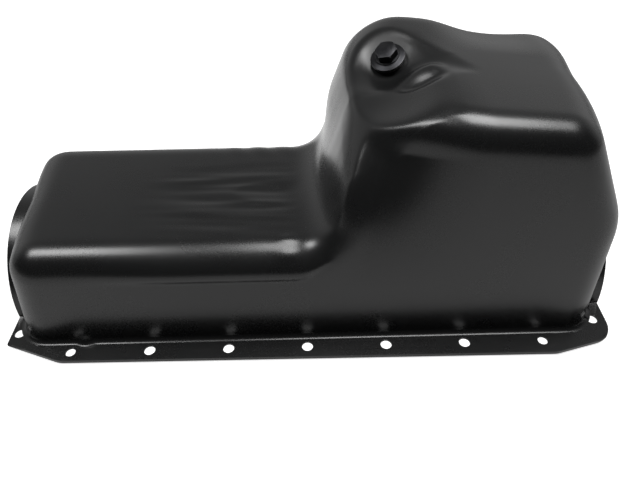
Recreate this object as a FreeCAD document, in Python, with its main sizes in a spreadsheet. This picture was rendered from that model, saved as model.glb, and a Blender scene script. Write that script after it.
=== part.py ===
import FreeCAD, Part
import math
import os

import Sketcher
from FreeCAD import Vector

# Pressed steel oil pan, drawn upside down: the gasket face lies on z = 0 and
# the sump points up.  X runs along the crankshaft, the shallow tray is at -X,
# the deep sump at +X, the near rail at -Y.  All lengths are in millimetres.

doc = FreeCAD.newDocument("oil_pan")
sheet = doc.addObject("Spreadsheet::Sheet", "Sheet")

SIZES = [
    ("sheet_gauge", 1.5, "steel thickness"),
    ("deep_span", 300, "width of the raw side profiles, more than the pan"),
    # walls at the gasket face
    ("wall_half", 104.8, "half width between the wall feet"),
    ("left_foot", -259.4, "foot of the tray end wall, on the middle line"),
    ("right_foot", 256.2, "foot of the sump end wall, on the middle line"),
    ("near_draft", 3.4, "lean of the near walls, degrees"),
    ("far_draft", 3.2, "lean of the far sump wall, degrees"),
    ("flank_lean", 25, "lean of the far tray wall, degrees"),
    ("tray_bow", 400, "plan radius of the tray end wall"),
    ("front_bow", 450, "plan radius of the front wall of the sump"),
    ("end_bow", 340, "plan radius of the sump end wall"),
    # tray
    ("tray_height", 92, "height of the tray floor"),
    ("tray_end_lean", 7.5, "lean of the tray end wall, degrees"),
    ("tray_overrun", 70, "how far the tray solid runs into the sump"),
    # sump
    ("front_mid_x", 7, "front wall at the tray level, on the middle line"),
    ("front_slope", 0.333, "front wall run for each unit of rise"),
    ("sump_mid_x", 117.75, "station where the sump height is stated"),
    ("sump_height", 200, "height of the sump floor at that station"),
    ("sump_fall", 0.09, "fall of the sump floor towards its end"),
    ("shoulder_z", 108, "height of the shoulder in the end wall"),
    ("end_draft", 1.7, "lean of the lower end wall, degrees"),
    ("end_lean", 26, "lean of the upper end wall, degrees"),
    # roundings of the pressing
    ("tray_end_round", 27, "tray floor to end wall"),
    ("wall_round", 26, "side walls to floors and to end walls"),
    ("throat_round", 32, "tray to front wall of the sump"),
    ("front_round", 42, "front wall to sump floor"),
    ("sump_end_round", 33, "sump floor to end wall"),
    ("shoulder_round", 70, "shoulder of the end wall"),
    # drain recess and plug
    ("plug_x", 69.3, "plug seat centre"),
    ("plug_y", 27, "plug seat centre"),
    ("plug_z", 190, "plug seat centre"),
    ("plug_tilt", 27, "lean of the plug axis, degrees"),
    ("plug_heading", 230.4, "direction of that lean in plan, degrees"),
    ("seat_radius", 17, "flat seat round the plug"),
    ("scoop_rise", 26, "rise of the recess wall, degrees"),
    ("scoop_depth", 90, "height of the recess cutter"),
    ("recess_round", 9, "rounding of the recess rim"),
    ("seat_round", 5, "rounding between seat and recess wall"),
    ("thread_size", 12.7, "thread diameter of the plug"),
    ("thread_gap", 0.05, "radial gap between plug and nut"),
    ("seat_hole_gap", 0.4, "radial gap between plug and pan"),
    ("plug_reach", 14, "shank length below the flange"),
    ("plug_point", 1.5, "chamfer of the shank end"),
    ("flange_radius", 14.25, "plug flange"),
    ("flange_thick", 2.4, "plug flange"),
    ("collar_radius", 9.6, "step under the hexagon"),
    ("collar_height", 1.2, "step under the hexagon"),
    ("hex_flats", 16, "hexagon across flats"),
    ("hex_height", 7, "hexagon"),
    ("hex_chamfer", 30, "slope of the hexagon chamfer, degrees"),
    ("hex_top_radius", 7.6, "flat on top of the hexagon"),
    ("hex_turn", 25, "turn of the hexagon about the plug axis, degrees"),
    ("gasket_radius", 13.2, "sealing washer"),
    ("gasket_thick", 1.8, "sealing washer"),
    ("gasket_gap", 0.3, "radial gap between washer and shank"),
    ("nut_radius", 11, "weld nut"),
    ("nut_height", 9, "weld nut"),
    ("nut_chamfer", 1, "weld nut rim"),
    # rail round the pan
    ("rail_left_x", -209.25, "start of the left diagonal"),
    ("rail_left_y", 127.1, "rail edge at the left diagonal"),
    ("rail_right_x", 206.75, "start of the right diagonal"),
    ("rail_right_y", 130.4, "rail edge at the right diagonal"),
    ("end_x", 260.75, "outer ends of the pan"),
    ("left_tip_y", 107.2, "left corner of the rail"),
    ("right_tip_y", 115.9, "right corner of the rail"),
    ("left_tip_round", 4, "left corner of the rail"),
    ("right_tip_round", 24, "right corner of the rail"),
    ("rail_kink_round", 20, "rail edge to diagonal"),
    ("lip_height", 5, "turned lip of the rail"),
    ("lip_bend", 2.5, "outer bend of the lip"),
    ("lip_end_x", 240, "station where the lip starts to fade"),
    ("lip_fade", 12, "slope of the fading lip, degrees"),
    # end arches
    ("arch_radius", 75.5, "outer face of the end arches"),
    ("arch_inset", 60, "how far the arch opening is cut inwards"),
    # holes
    ("hole_pitch", 67, "rail hole spacing"),
    ("hole_shift", -2.25, "middle rail hole"),
    ("hole_y", 115.8, "rail hole line"),
    ("hole_radius", 4.75, "rail holes"),
    ("end_hole_radius", 4.2, "last rail hole at each end"),
    ("corner_left_x", -253.6, "left corner holes"),
    ("corner_right_x", 249, "right corner holes"),
    ("corner_y", 94, "corner holes"),
]

for row, (alias, value, note) in enumerate(SIZES, start=1):
    sheet.set("A%d" % row, alias)
    sheet.set("B%d" % row, str(value))
    sheet.set("C%d" % row, note)
    sheet.setAlias("B%d" % row, alias)
doc.recompute()


def size(alias):
    """Read one number from the sheet."""
    return float(sheet.get(alias))


NAMES = set(alias for alias, _, _ in SIZES)


def term(text):
    """Point every size name of a formula to the sheet."""
    out = ""
    word = ""
    for mark in text + " ":
        if mark.isalnum() or mark in "_.":
            word += mark
            continue
        out += "Sheet." + word if word in NAMES else word
        out += mark
        word = ""
    return out.strip()


def bind(item, path, text):
    """Drive one property of an object by a formula of sheet sizes."""
    item.setExpression(path, term(text))


def add(kind, name):
    return doc.addObject(kind, name)


# The three drawing planes as rotations of the sketch plane.
SIDE = FreeCAD.Rotation(Vector(1, 0, 0), 90)
CROSS = FreeCAD.Rotation(Vector(1, 1, 1), 120)
PLAN = FreeCAD.Rotation()


def polygon(name, turn, points):
    """Closed outline whose corners are held by formulas of sheet sizes."""
    sketch = add("Sketcher::SketchObject", name)
    sketch.Placement = FreeCAD.Placement(Vector(), turn)
    count = len(points)
    spots = [Vector(100 * math.cos(-6.28 * k / count), 100 * math.sin(-6.28 * k / count), 0) for k in range(count)]
    for k in range(count):
        sketch.addGeometry(Part.LineSegment(spots[k], spots[(k + 1) % count]), False)
    for k in range(count):
        sketch.addConstraint(Sketcher.Constraint("Coincident", k, 2, (k + 1) % count, 1))
    for k, (across, up) in enumerate(points):
        hold(sketch, k, 1, across, up)
    return sketch


def hold(sketch, geometry, point, across, up):
    """Hold one point of a sketch at the place that two formulas give."""
    here = sketch.getPoint(geometry, point)
    for axis, text, value in (("DistanceX", across, here.x), ("DistanceY", up, here.y)):
        where = sketch.addConstraint(Sketcher.Constraint(axis, -1, 1, geometry, point, value))
        sketch.setExpression("Constraints[%d]" % where, "(%s) * 1 mm" % term(text))


def extrude(name, base, way, forward, back="0"):
    solid = add("Part::Extrusion", name)
    solid.Base = base
    solid.DirMode = "Custom"
    solid.Dir = way
    solid.Solid = True
    bind(solid, "LengthFwd", forward)
    bind(solid, "LengthRev", back)
    return solid


def cut(name, base, tool):
    item = add("Part::Cut", name)
    item.Base = base
    item.Tool = tool
    item.Refine = True
    return item


def fuse(name, parts):
    item = add("Part::MultiFuse", name)
    item.Shapes = parts
    item.Refine = True
    return item


def common(name, parts):
    item = add("Part::MultiCommon", name)
    item.Shapes = parts
    item.Refine = True
    return item


def middle(edge):
    return edge.valueAt((edge.FirstParameter + edge.LastParameter) / 2)


def rounding(name, base, radius):
    """Round the edges for which radius(edge) gives one or two radii."""
    doc.recompute()
    item = add("Part::Fillet", name)
    item.Base = base
    picks = []
    for number, edge in enumerate(base.Shape.Edges, start=1):
        found = radius(edge)
        if found:
            picks.append((number,) + tuple(found))
    item.Edges = picks
    doc.recompute()
    return item


def corner_formulas(form, inset):
    """Sheet formulas for the corners of one skin of the pressing."""
    lines = [
        ("left", "left_foot + INSET / cos(tray_end_lean)"),
        ("tray", "tray_height - INSET"),
        ("tray_x", "FORM_left + FORM_tray * tan(tray_end_lean)"),
        ("near", "wall_half - INSET / cos(near_draft)"),
        ("far", "wall_half - INSET / cos(far_draft)"),
        ("flank", "wall_half - INSET / cos(flank_lean)"),
        ("front", "front_mid_x - tray_height * front_slope + INSET * sqrt(1 + front_slope ^ 2)"),
        ("floor", "sump_height + sump_fall * sump_mid_x - INSET * sqrt(1 + sump_fall ^ 2)"),
        ("front_z", "(FORM_floor - sump_fall * FORM_front) / (1 + sump_fall * front_slope)"),
        ("front_x", "FORM_front + FORM_front_z * front_slope"),
        ("right", "right_foot - INSET / cos(end_draft)"),
        ("lean_foot", "right_foot - shoulder_z * tan(end_draft) + shoulder_z * tan(end_lean) - INSET / cos(end_lean)"),
        ("knee_z", "(FORM_lean_foot - FORM_right) / (tan(end_lean) - tan(end_draft))"),
        ("knee_x", "FORM_right - FORM_knee_z * tan(end_draft)"),
        ("front_peak_x", "FORM_front + section_top * front_slope"),
        ("end_peak_x", "FORM_lean_foot - section_top * tan(end_lean)"),
        ("tray_peak_x", "FORM_left + section_top * tan(tray_end_lean)"),
        ("end_z", "(FORM_floor - sump_fall * FORM_lean_foot) / (1 - sump_fall * tan(end_lean))"),
        ("end_x", "FORM_lean_foot - FORM_end_z * tan(end_lean)"),
    ]
    return [(form + "_" + name, "=" + text.replace("FORM", form).replace("INSET", inset)) for name, text in lines]


DERIVED = [("section_top", "=sump_height + front_round")]
DERIVED += corner_formulas("outer", "0") + corner_formulas("inner", "sheet_gauge") + [
    ("scoop_radius", "=seat_radius + scoop_depth / tan(scoop_rise)"),
    ("inner_seat_radius", "=seat_radius + sheet_gauge * (1 / cos(scoop_rise) - 1) / tan(scoop_rise)"),
    ("inner_scoop_radius", "=inner_seat_radius + scoop_depth / tan(scoop_rise)"),
    ("lip_stop_x", "=lip_end_x + (lip_height - sheet_gauge) / tan(lip_fade)"),
    ("beyond_x", "=end_x + lip_height"),
    ("beyond_z", "=lip_height + lip_bend"),
    ("arch_start_x", "=end_x - arch_inset"),
    ("hex_corner", "=hex_flats / 2 / cos(30)"),
    ("hex_cone_radius", "=hex_top_radius + hex_height / tan(hex_chamfer)"),
]
for row, (alias, formula) in enumerate(DERIVED, start=len(SIZES) + 1):
    sheet.set("A%d" % row, alias)
    sheet.set("B%d" % row, formula)
    sheet.setAlias("B%d" % row, alias)
doc.recompute()
NAMES.update(alias for alias, _ in DERIVED)


def bowed(name, side, middle_x, radius, sign):
    """Side view turned about an upright line, so that its end wall bows outwards."""
    item = add("Part::Revolution", name)
    item.Source = side
    item.Axis = Vector(0, 0, 1)
    item.Base = Vector(size(middle_x) + sign * size(radius), 0, 0)
    item.Angle = 180
    item.Symmetric = True
    item.Solid = True
    return item


def runs_across(edge):
    """True for an edge that runs from one side wall to the other."""
    first, last = edge.Vertexes[0].Point, edge.Vertexes[-1].Point
    return first.y * last.y < 0 and abs(first.z - last.z) < 5


def close(value, goal):
    return abs(value - goal) < 1


class Skin:
    """One skin of the pressing: the outer form, or the inner one an inset inside it."""

    def __init__(self, name, inset):
        self.name = name
        self.inset = inset

    def corner(self, alias):
        return size(self.name + "_" + alias)

    def convex(self, alias):
        return size(alias) - self.inset

    def concave(self, alias):
        return size(alias) + self.inset

    def outline(self, name, turn, corners):
        """Polygon whose corners are named by aliases of this skin."""
        points = [tuple(text.replace("@", self.name + "_") for text in corner) for corner in corners]
        return polygon(self.name.capitalize() + name, turn, points)

    def near_y(self, z):
        return z * math.tan(math.radians(size("near_draft"))) - self.corner("near")

    def far_y(self, z):
        return self.corner("far") - z * math.tan(math.radians(size("far_draft")))

    def flank_y(self, z):
        return self.corner("flank") - z * math.tan(math.radians(size("flank_lean")))

    def on_wall(self, edge, wall_y):
        """True where the whole edge lies on a side wall, its foot apart."""
        spots = [vertex.Point for vertex in edge.Vertexes] + [middle(edge)]
        return middle(edge).z > 0.01 and all(abs(spot.y - wall_y(spot.z)) < 0.01 for spot in spots)

    def tray_end_edge(self, edge):
        spot = middle(edge)
        if runs_across(edge) and close(spot.z, self.corner("tray")) and spot.x < 0:
            return (self.convex("tray_end_round"),) * 2

    def sump_side_edges(self, edge):
        if not runs_across(edge):
            return None
        for height, radius in (("front_z", "front_round"), ("end_z", "sump_end_round"),
                               ("knee_z", "shoulder_round")):
            if close(middle(edge).z, self.corner(height)):
                return (self.convex(radius),) * 2

    def flank_edges(self, edge):
        if self.on_wall(edge, self.flank_y) and middle(edge).x < size("tray_overrun") - 1:
            return (self.convex("wall_round"),) * 2

    def far_edges(self, edge):
        if self.on_wall(edge, self.far_y):
            return (self.convex("wall_round"),) * 2

    def near_edges(self, edge):
        if self.on_wall(edge, self.near_y):
            return (self.convex("wall_round"),) * 2

    def throat_edges(self, edge):
        spot = middle(edge)
        if not 0.5 < spot.z < self.corner("tray") + 0.5:
            return None
        if spot.x < self.corner("front") - 1 or spot.x > size("front_mid_x") + size("front_round"):
            return None
        if self.on_wall(edge, self.far_y) or spot.y < self.near_y(spot.z) + 1:
            return None
        return (self.concave("throat_round"),) * 2

    def scoop(self):
        """Cutter of the drain recess for this skin."""
        names = {"outer": ("seat_radius", "scoop_radius"), "inner": ("inner_seat_radius", "inner_scoop_radius")}
        cone = add("Part::Cone", self.name.capitalize() + "Scoop")
        bind(cone, "Radius1", names[self.name][0])
        bind(cone, "Radius2", names[self.name][1])
        bind(cone, "Height", "scoop_depth")
        cone.Placement = along_plug(-self.inset)
        self.seat = size(names[self.name][0])
        return rounding(self.name.capitalize() + "ScoopRound", cone, self.seat_edges)

    def rim_edges(self, edge):
        """Edges between the cone of the recess and the rest of the form."""
        rise = math.tan(math.radians(size("scoop_rise")))
        if edge.Length - (edge.Vertexes[-1].Point - edge.Vertexes[0].Point).Length < 0.001:
            return None
        for spot in [vertex.Point for vertex in edge.Vertexes] + [middle(edge)]:
            height, radius = from_seat(spot, -self.inset)
            if abs(height - (radius - self.seat) * rise) > 0.05:
                return None
        if from_seat(middle(edge), -self.inset)[1] < self.seat + 1:
            return None
        return (self.convex("recess_round"),) * 2

    def seat_edges(self, edge):
        """Circle between the flat seat and the cone of the recess."""
        height, radius = from_seat(middle(edge), -self.inset)
        if abs(height) < 0.01 and abs(radius - self.seat) < 0.01:
            return (self.concave("seat_round"),) * 2

    def build(self):
        """Tray and sump, each rounded, joined, rounded again and recessed."""
        title = self.name.capitalize()
        walls = ("0 - @near", "0"), ("section_top * tan(near_draft) - @near", "section_top")
        tray_side = self.outline("TraySide", SIDE, [
            ("@left", "0"), ("@tray_x", "@tray"), ("tray_overrun", "@tray"), ("tray_overrun", "0")])
        tray_cross = self.outline("TrayCross", CROSS, [
            *walls, ("@flank - section_top * tan(flank_lean)", "section_top"), ("@flank", "0")])
        floor_side = self.outline("FloorSide", SIDE, [
            ("@front", "0"), ("@front", "@floor - sump_fall * @front"),
            ("end_x", "@floor - sump_fall * end_x"), ("end_x", "0")])
        front_side = self.outline("FrontSide", SIDE, [
            ("@front", "0"), ("@front_peak_x", "section_top"), ("end_x", "section_top"), ("end_x", "0")])
        end_side = self.outline("EndSide", SIDE, [
            ("@front", "0"), ("@front", "section_top"), ("@end_peak_x", "section_top"),
            ("@knee_x", "@knee_z"), ("@right", "0")])
        sump_cross = self.outline("SumpCross", CROSS, [
            *walls, ("@far - section_top * tan(far_draft)", "section_top"), ("@far", "0")])
        tray = common(title + "TrayBlock", [
            bowed(title + "TrayLong", tray_side, self.name + "_left", "tray_bow", 1),
            extrude(title + "TrayWide", tray_cross, Vector(1, 0, 0), "deep_span", "deep_span")])
        sump = common(title + "SumpBlock", [
            extrude(title + "SumpWide", sump_cross, Vector(1, 0, 0), "deep_span", "deep_span"),
            extrude(title + "SumpFloor", floor_side, Vector(0, 1, 0), "deep_span / 2", "deep_span / 2"),
            bowed(title + "SumpFront", front_side, self.name + "_front", "front_bow", 1),
            bowed(title + "SumpEnd", end_side, self.name + "_right", "end_bow", -1)])
        tray = rounding(title + "TrayEnd", tray, self.tray_end_edge)
        tray = rounding(title + "TrayFlank", tray, self.flank_edges)
        sump = rounding(title + "SumpBends", sump, self.sump_side_edges)
        sump = rounding(title + "SumpFar", sump, self.far_edges)
        form = fuse(title + "Joined", [tray, sump])
        form = rounding(title + "Throat", form, self.throat_edges)
        form = rounding(title + "Near", form, self.near_edges)
        form = cut(title + "Recess", form, self.scoop())
        return rounding(title + "Form", form, self.rim_edges)


# The plug axis, square to the seat at the bottom of the drain recess.
LEAN = FreeCAD.Rotation(Vector(0, 1, 0), size("plug_tilt"))
HEADING = FreeCAD.Rotation(Vector(0, 0, 1), size("plug_heading"))
SEAT = FreeCAD.Placement(Vector(size("plug_x"), size("plug_y"), size("plug_z")), HEADING * LEAN)


def along_plug(height, turn=0):
    """Placement on the plug axis, so far above the seat."""
    return SEAT * FreeCAD.Placement(Vector(0, 0, height), FreeCAD.Rotation(Vector(0, 0, 1), turn))


def from_seat(point, level):
    """Height above a level of the seat and distance from the plug axis."""
    local = SEAT.inverse().multVec(point)
    return local.z - level, math.hypot(local.x, local.y)


outer = Skin("outer", 0).build()
inner = Skin("inner", size("sheet_gauge")).build()


# Rail: a flat plate with its edge turned up, the lip fading out at both ends.
rail_plan = polygon("RailPlan", PLAN, [
    ("0 - end_x", "0 - left_tip_y"),
    ("rail_left_x", "0 - rail_left_y"),
    ("rail_right_x", "0 - rail_right_y"),
    ("end_x", "0 - right_tip_y"),
    ("end_x", "right_tip_y"),
    ("rail_right_x", "rail_right_y"),
    ("rail_left_x", "rail_left_y"),
    ("0 - end_x", "left_tip_y"),
])
rail_block = extrude("RailBlock", rail_plan, Vector(0, 0, 1), "lip_height")


def rail_corners(edge):
    if edge.BoundBox.ZLength < size("lip_height") - 0.01:
        return None
    spot = middle(edge)
    for x, radius in ((-size("end_x"), "left_tip_round"), (size("end_x"), "right_tip_round")):
        if close(spot.x, x):
            return (size(radius),) * 2
    return (size("rail_kink_round"),) * 2


def rail_foot(edge):
    if edge.BoundBox.ZMax < 0.01:
        return (size("lip_bend"),) * 2


rail_round = rounding("RailRound", rail_block, rail_corners)
rail_bent = rounding("RailBent", rail_round, rail_foot)
rail_pan = add("Part::Thickness", "RailPan")
tops = [n for n, face in enumerate(rail_bent.Shape.Faces, start=1) if face.BoundBox.ZMin > size("lip_height") - 0.01]
rail_pan.Faces = (rail_bent, ["Face%d" % n for n in tops])
bind(rail_pan, "Value", "0 - sheet_gauge")
rail_pan.Join = "Arc"


def fade(name, sign):
    """Wedge that takes the lip away towards one end of the pan."""
    corners = [("lip_end_x", "lip_height"), ("lip_stop_x", "sheet_gauge"), ("beyond_x", "sheet_gauge"),
               ("beyond_x", "beyond_z"), ("lip_end_x", "beyond_z")]
    points = [("%d * %s" % (sign, across), up) for across, up in corners]
    side = polygon(name + "Side", SIDE, points)
    return extrude(name, side, Vector(0, 1, 0), "deep_span / 2", "deep_span / 2")


rail = cut("Rail", rail_pan, fuse("Fades", [fade("LeftFade", -1), fade("RightFade", 1)]))


def half_round(name, radius):
    """Half cylinder over the gasket face, along the whole crankshaft line."""
    item = add("Part::Cylinder", name)
    bind(item, "Radius", radius)
    bind(item, "Height", "2 * end_x")
    item.Angle = 180
    item.Placement = FreeCAD.Placement(Vector(-size("end_x"), 0, 0), CROSS)
    return item


def end_part(name, base, start, stop):
    """The two ends of a long solid, between two stations from the middle."""
    keep = []
    for side, sign in (("Left", -1), ("Right", 1)):
        block = add("Part::Box", name + side + "Box")
        bind(block, "Length", "%s - %s" % (stop, start))
        bind(block, "Width", "deep_span")
        bind(block, "Height", "deep_span")
        doc.recompute()
        x = size(start) if sign > 0 else -size(start) - block.Length.Value
        block.Placement = FreeCAD.Placement(Vector(x, -size("deep_span") / 2, -1), PLAN)
        keep.append(block)
    return common(name, [base, fuse(name + "Boxes", keep)])


# End arches: a half round ribbon at each end, open below.
arch_solid = end_part("Arches", half_round("ArchOutside", "arch_radius"), "arch_start_x", "end_x")
arch_void = end_part("ArchVoids", half_round("ArchInside", "arch_radius - sheet_gauge"), "arch_start_x", "end_x")

blank = fuse("Blank", [outer, rail, arch_solid])
hollow = cut("Hollow", blank, inner)
opened = cut("Opened", hollow, arch_void)


def hole_cutter(name, circles):
    """Rods through the rail at places and radii that formulas give."""
    sketch = add("Sketcher::SketchObject", name + "Plan")
    sketch.Placement = FreeCAD.Placement(Vector(0, 0, 0), PLAN)
    for k, (across, up, radius) in enumerate(circles):
        start = Vector(10 * k, 0, 0)
        sketch.addGeometry(Part.Circle(start, Vector(0, 0, 1), 3), False)
        hold(sketch, k, 3, across, up)
        where = sketch.addConstraint(Sketcher.Constraint("Radius", k, 3))
        sketch.setExpression("Constraints[%d]" % where, "(%s) * 1 mm" % term(radius))
    return extrude(name, sketch, Vector(0, 0, 1), "lip_height", "lip_height")


circles = []
for sign in (-1, 1):
    for k in range(-3, 4):
        radius = "end_hole_radius" if abs(k) == 3 else "hole_radius"
        circles.append(("%d * hole_pitch + hole_shift" % k, "%d * hole_y" % sign, radius))
    for corner in ("corner_left_x", "corner_right_x"):
        circles.append((corner, "%d * corner_y" % sign, "hole_radius"))
drilled = cut("Drilled", opened, hole_cutter("RailHoles", circles))

# Hole for the drain plug through the seat.
plug_hole = add("Part::Cylinder", "PlugHole")
bind(plug_hole, "Radius", "thread_size / 2 + seat_hole_gap")
bind(plug_hole, "Height", "4 * sheet_gauge")
plug_hole.Placement = along_plug(-2 * size("sheet_gauge"))
pan = cut("Pan", drilled, plug_hole)


def rod(name, radius, height, start):
    """Cylinder on the plug axis, from a height above the seat."""
    item = add("Part::Cylinder", name)
    bind(item, "Radius", radius)
    bind(item, "Height", height)
    item.Placement = along_plug(start)
    return item


def pointed(name, base, radius_alias, goal, chamfer):
    """Chamfer of the circle that lies at one height on the plug axis."""
    doc.recompute()
    item = add("Part::Chamfer", name)
    item.Base = base
    picks = []
    for number, edge in enumerate(base.Shape.Edges, start=1):
        height, radius = from_seat(middle(edge), goal)
        if abs(height) < 0.01 and abs(radius - radius_alias) < 0.01:
            picks.append((number, chamfer, chamfer))
    item.Edges = picks
    return item


# Drain plug: hexagon, collar, flange and shank on one axis.
seat_above = size("gasket_thick")
shank = rod("Shank", "thread_size / 2", "plug_reach + flange_thick", seat_above - size("plug_reach"))
shank = pointed("ShankPoint", shank, size("thread_size") / 2, seat_above - size("plug_reach"), size("plug_point"))
flange = rod("PlugFlange", "flange_radius", "flange_thick", seat_above)
collar_foot = seat_above + size("flange_thick")
collar = rod("PlugCollar", "collar_radius", "collar_height", collar_foot)
prism = add("Part::Prism", "PlugPrism")
prism.Polygon = 6
bind(prism, "Circumradius", "hex_corner")
bind(prism, "Height", "collar_height + hex_height")
prism.Placement = along_plug(collar_foot, size("hex_turn"))
crown = add("Part::Cone", "PlugCrown")
bind(crown, "Radius1", "hex_cone_radius")
bind(crown, "Radius2", "hex_top_radius")
bind(crown, "Height", "hex_height + collar_height")
crown.Placement = along_plug(collar_foot)
plug = fuse("DrainPlug", [shank, flange, collar, common("PlugHead", [prism, crown])])

# Sealing washer between the flange and the seat.
washer = cut("DrainGasket", rod("WasherDisc", "gasket_radius", "gasket_thick", 0),
             rod("WasherBore", "thread_size / 2 + gasket_gap", "gasket_thick", 0))

# Threaded nut welded to the inside of the seat.
nut_foot = -size("sheet_gauge") - size("nut_height")
nut_disc = rod("NutDisc", "nut_radius", "nut_height", nut_foot)
nut_disc = pointed("NutRim", nut_disc, size("nut_radius"), nut_foot, size("nut_chamfer"))
nut = cut("WeldNut", nut_disc, rod("NutBore", "thread_size / 2 + thread_gap", "nut_height", nut_foot))

doc.recompute()
for item in doc.Objects:
    if "Error" in item.State or "Invalid" in item.State:
        raise RuntimeError("%s did not compute" % item.Name)

NODES = [("pan_shell", pan), ("drain_plug", plug), ("drain_gasket", washer), ("weld_nut", nut)]
os.makedirs("parts", exist_ok=True)
for label, item in NODES:
    item.Label = label
    shape = item.Shape
    if shape.isNull() or not shape.isValid() or len(shape.Solids) != 1:
        raise RuntimeError("%s is not one valid solid" % label)
    shape.exportStep("parts/%s.step" % label)
    print(label, round(shape.Volume), len(shape.Faces))
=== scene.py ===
"""Pressed steel engine oil pan with its drain plug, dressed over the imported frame.

All lengths are in metres.
"""

import logging
import math
from dataclasses import dataclass, field
from enum import Enum
from typing import Iterable

import bmesh
import bpy
from bmesh.types import BMEdge, BMesh, BMFace, BMVert
from bpy.types import Material, Node, NodeSocket, NodeTree, Object
from mathutils import Matrix, Vector, noise
from mathutils.bvhtree import BVHTree


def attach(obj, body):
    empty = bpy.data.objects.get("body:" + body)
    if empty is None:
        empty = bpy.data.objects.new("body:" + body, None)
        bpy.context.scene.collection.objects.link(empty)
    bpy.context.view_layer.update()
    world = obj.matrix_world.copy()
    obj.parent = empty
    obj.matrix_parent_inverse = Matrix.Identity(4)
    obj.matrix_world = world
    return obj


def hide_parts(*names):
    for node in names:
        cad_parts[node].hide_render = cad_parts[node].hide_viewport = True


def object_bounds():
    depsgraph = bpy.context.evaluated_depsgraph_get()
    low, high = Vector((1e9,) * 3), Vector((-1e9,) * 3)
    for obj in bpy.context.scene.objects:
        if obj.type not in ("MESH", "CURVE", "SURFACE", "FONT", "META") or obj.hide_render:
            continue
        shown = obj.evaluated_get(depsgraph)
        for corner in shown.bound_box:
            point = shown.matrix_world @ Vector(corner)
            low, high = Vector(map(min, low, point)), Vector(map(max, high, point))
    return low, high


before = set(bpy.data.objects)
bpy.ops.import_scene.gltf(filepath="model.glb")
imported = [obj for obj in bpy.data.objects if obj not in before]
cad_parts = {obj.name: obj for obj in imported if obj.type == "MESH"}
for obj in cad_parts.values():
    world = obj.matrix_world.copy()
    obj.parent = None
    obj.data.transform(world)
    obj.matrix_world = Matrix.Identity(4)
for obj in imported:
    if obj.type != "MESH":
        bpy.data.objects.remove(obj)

logging.basicConfig(level=logging.INFO, format="%(message)s")
log = logging.getLogger("oil_pan")

Colour = Point = tuple[float, float, float]

CAD_BOX = [list(corner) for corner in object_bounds()]
SHEET = 0.0015  # thickness of the pressed sheet
WELD = 2e-6  # corners nearer to each other than this are one
CRISP = 50.0  # degrees; a sharper edge ends a smooth face of the solid
END_ZONE = 0.2  # from this distance along X, a face can belong to an end wall
FOOT_ROWS = (0.0015, 0.0018, 0.0022, 0.0028, 0.0036, 0.0047, 0.0060, 0.0076)
FOOT_TOP = 0.0070  # the rows of the net up to here keep their height
PULL = 0.6  # share of the way to its neighbours' middle that a corner moves
VALUE_A, VALUE_B = 2, 3  # inputs of a mix node for values
COLOUR_A, COLOUR_B, COLOUR_OUT = 6, 7, 2  # and for colours


class Side(Enum):
    """The two faces of the pressed sheet."""

    OUTER = 1
    INNER = -1


def smoothstep(low: float, high: float, value: float) -> float:
    """Change smoothly from 0 at low to 1 at high, whichever is larger."""
    t = min(max((value - low) / (high - low), 0.0), 1.0)
    return t * t * (3 - 2 * t)


def bump(value: float, centre: float, half_width: float) -> float:
    """A smooth hump of height 1 at centre that ends half_width away."""
    t = abs(value - centre) / half_width
    return 0.0 if t >= 1 else (1 - t * t) ** 2


def steps(low: float, high: float, pitch: float) -> list[float]:
    """Evenly spaced stations between two ends.

    Args:
        low: first end, not among the stations.
        high: last end, not among the stations.
        pitch: the widest step allowed.

    Returns:
        The stations between the ends.
    """
    count = max(1, math.ceil((high - low) / pitch))
    return [low + (high - low) * k / count for k in range(1, count)]


def add_node(tree: NodeTree, kind: str, **values: object) -> Node:
    """Add a node and set the inputs that are named by keyword.

    Args:
        tree: the tree that gets the node.
        kind: Blender's name for the node type.
        **values: socket values, with underscores in place of spaces.

    Returns:
        The new node.
    """
    node = tree.nodes.new(kind)
    for name, value in values.items():
        node.inputs[name.replace("_", " ")].default_value = value
    return node


def add_math(tree: NodeTree, operation: str, clamp: bool = False) -> Node:
    """Add a math node."""
    node = tree.nodes.new("ShaderNodeMath")
    node.operation = operation
    node.use_clamp = clamp
    return node


def add_ramp(
    tree: NodeTree, span: tuple[float, float], values: tuple[float, float] = (0.0, 1.0)
) -> Node:
    """Add a clamped ramp.

    Args:
        tree: the tree that gets the node.
        span: where the ramp starts and ends.
        values: its values there.

    Returns:
        The ramp node.
    """
    ends = {"From_Min": span[0], "From_Max": span[1], "To_Min": values[0], "To_Max": values[1]}
    return add_node(tree, "ShaderNodeMapRange", **ends)


def wire(tree: NodeTree, *links: tuple[Node, str | int, Node, str | int]) -> None:
    """Link sockets, each given as a node, its output, the next node and its input."""
    for source, output, target, entry in links:
        tree.links.new(source.outputs[output], target.inputs[entry])


def effect_group(name: str, inputs: dict[str, float], output: str) -> tuple[NodeTree, Node, Node]:
    """Start a shader node group with named sockets.

    Args:
        name: name of the group.
        inputs: float sockets and their defaults; a Vector socket is added first.
        output: name of its one output, a float.

    Returns:
        The group's tree, its input node and its output node.
    """
    tree = bpy.data.node_groups.new(name, "ShaderNodeTree")
    tree.interface.new_socket("Vector", in_out="INPUT", socket_type="NodeSocketVector")
    for label, value in inputs.items():
        socket = tree.interface.new_socket(label, in_out="INPUT", socket_type="NodeSocketFloat")
        socket.default_value = value
    tree.interface.new_socket(output, in_out="OUTPUT", socket_type="NodeSocketFloat")
    return tree, tree.nodes.new("NodeGroupInput"), tree.nodes.new("NodeGroupOutput")


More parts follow.
